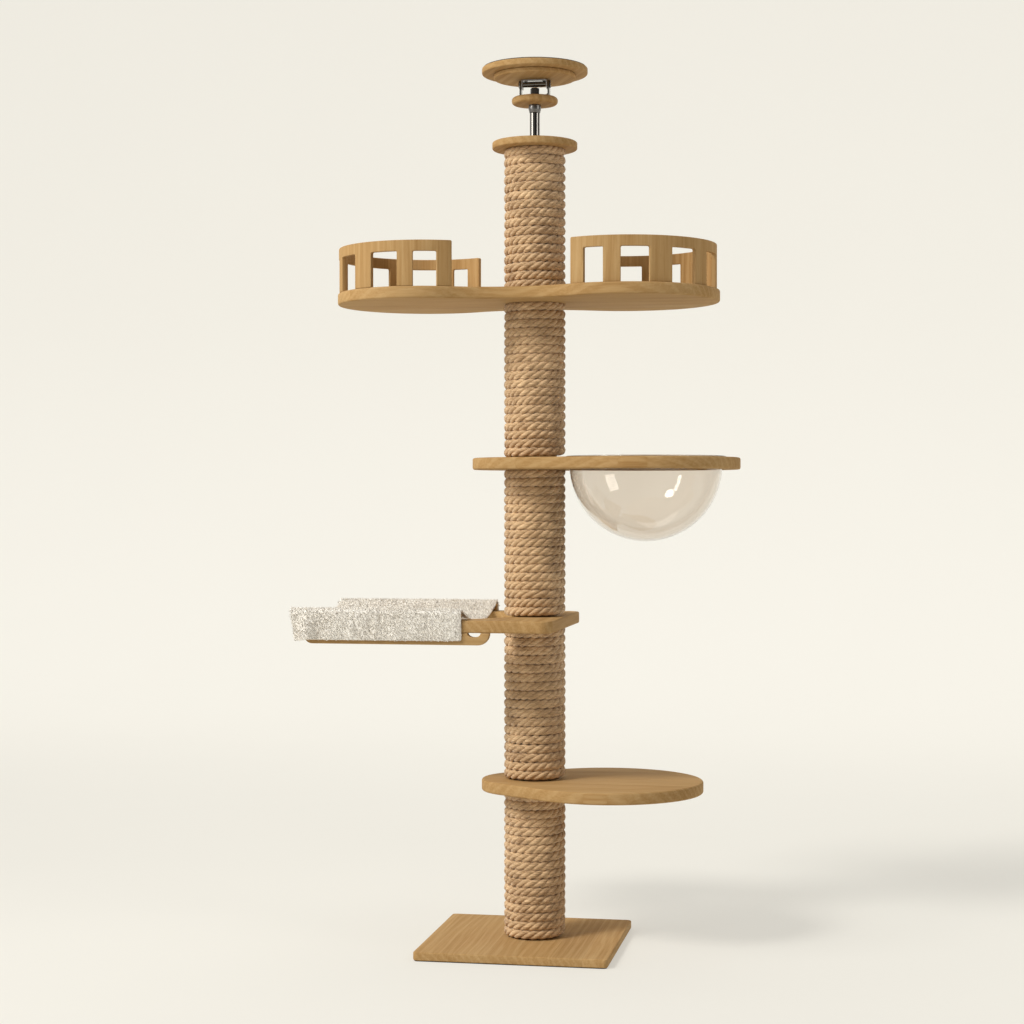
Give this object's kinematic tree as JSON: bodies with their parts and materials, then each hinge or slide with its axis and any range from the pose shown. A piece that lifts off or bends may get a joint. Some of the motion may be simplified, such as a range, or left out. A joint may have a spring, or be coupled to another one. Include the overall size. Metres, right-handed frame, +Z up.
{
  "type": "cat tree",
  "caption": "Floor-to-ceiling cat tree: rope-wound post, swivelling wooden platforms with fenced beds, a clear bowl and a plush hammock, held by a screw jack.",
  "frame": {"origin": "on the floor, on the post's axis, at the underside of the base's anti-slip sheet", "axes": "+Z up along the post, +X along the platforms towards the bowl, +Y away from the front"},
  "size_m": [1.172, 0.5372, 2.382],
  "materials": {
    "wood": "clear satin lacquer on light oak-coloured board",
    "inner_wood": "unfinished softwood plug",
    "rope": "three-strand laid jute rope",
    "card_tube": "wound paper tube",
    "plush": "short plush, off-white with grey flecks",
    "acrylic": "clear polished acrylic",
    "chrome": "polished",
    "steel": "zinc plated",
    "dark_steel": "black oxide",
    "rubber": "matt anti-slip sheet"
  },
  "bodies": {
    "root": {"base_mat": "rubber", "base_board": "wood", "base_bolt": "steel", "post_tube_1": "card_tube", "rope_wrap_1": "rope", "plug_1_lower": "inner_wood", "plug_1_upper": "inner_wood", "joining_stud_1": "steel", "post_tube_2": "card_tube", "rope_wrap_2": "rope", "plug_2_lower": "inner_wood", "plug_2_upper": "inner_wood", "joining_stud_2": "steel", "post_tube_3": "card_tube", "rope_wrap_3": "rope", "plug_3_lower": "inner_wood", "plug_3_upper": "inner_wood", "joining_stud_3": "steel", "post_tube_4": "card_tube", "rope_wrap_4": "rope", "plug_4_lower": "inner_wood", "plug_4_upper": "inner_wood", "joining_stud_4": "steel", "post_tube_5": "card_tube", "rope_wrap_5": "rope", "plug_5_lower": "inner_wood", "plug_5_upper": "inner_wood", "top_cap": "wood", "jack_nut": "dark_steel"},
    "lower_shelf": {"lower_shelf": "wood"},
    "hammock": {"hammock_board": "wood", "rail_front": "wood", "rail_back": "wood", "spreader_bar": "wood", "rail_screw_front_1": "steel", "rail_screw_front_2": "steel", "rail_screw_back_1": "steel", "rail_screw_back_2": "steel", "hammock_sling": "plush"},
    "bowl_shelf": {"bowl_shelf": "wood"},
    "bowl": {"bowl": "acrylic"},
    "twin_shelf": {"twin_shelf": "wood", "fence_left": "wood", "fence_right": "wood"},
    "thrust_washer": {"thrust_washer": "steel"},
    "jack_screw": {"jack_rod": "chrome", "jack_collar": "dark_steel", "hand_disc": "wood", "swivel_head": "dark_steel"},
    "stirrup": {"stirrup": "chrome", "cross_pin": "chrome"},
    "ceiling_pad": {"pad_lug": "steel", "pad_disc_lower": "wood", "pad_disc_upper": "wood", "ceiling_grip": "rubber"}
  },
  "joints": [
    {"name": "lower_shelf_swivel", "type": "hinge", "parent": "root", "child": "lower_shelf", "pos_m": [0, 0, 0.4355], "axis": [0, 0, 1], "continuous": true},
    {"name": "hammock_swivel", "type": "hinge", "parent": "root", "child": "hammock", "pos_m": [0, 0, 0.877], "axis": [0, 0, 1], "continuous": true},
    {"name": "bowl_shelf_swivel", "type": "hinge", "parent": "root", "child": "bowl_shelf", "pos_m": [0, 0, 1.306], "axis": [0, 0, 1], "continuous": true},
    {"name": "twin_shelf_swivel", "type": "hinge", "parent": "root", "child": "twin_shelf", "pos_m": [0, 0, 1.756], "axis": [0, 0, 1], "continuous": true},
    {"name": "bowl_lift", "type": "slide", "parent": "bowl_shelf", "child": "bowl", "axis": [0, 0, 1], "range_m": [0, 0.26]},
    {"name": "jack_lift", "type": "slide", "parent": "root", "child": "thrust_washer", "axis": [0, 0, 1], "range_m": [-0.04, 0.04]},
    {"name": "jack_turn", "type": "hinge", "parent": "thrust_washer", "child": "jack_screw", "pos_m": [0, 0, 2.291], "axis": [0, 0, 1], "range_deg": [-3600, 3600]},
    {"name": "pad_swivel", "type": "hinge", "parent": "thrust_washer", "child": "stirrup", "pos_m": [0, 0, 2.307], "axis": [0, 0, 1], "continuous": true},
    {"name": "pad_tilt", "type": "hinge", "parent": "stirrup", "child": "ceiling_pad", "pos_m": [0, 0, 2.337], "axis": [1, 0, 0], "range_deg": [-8, 8]}
  ],
  "couplings": [
    {"joint": "jack_lift", "follows": "jack_turn", "m_per_rad": 0.00063662}
  ]
}
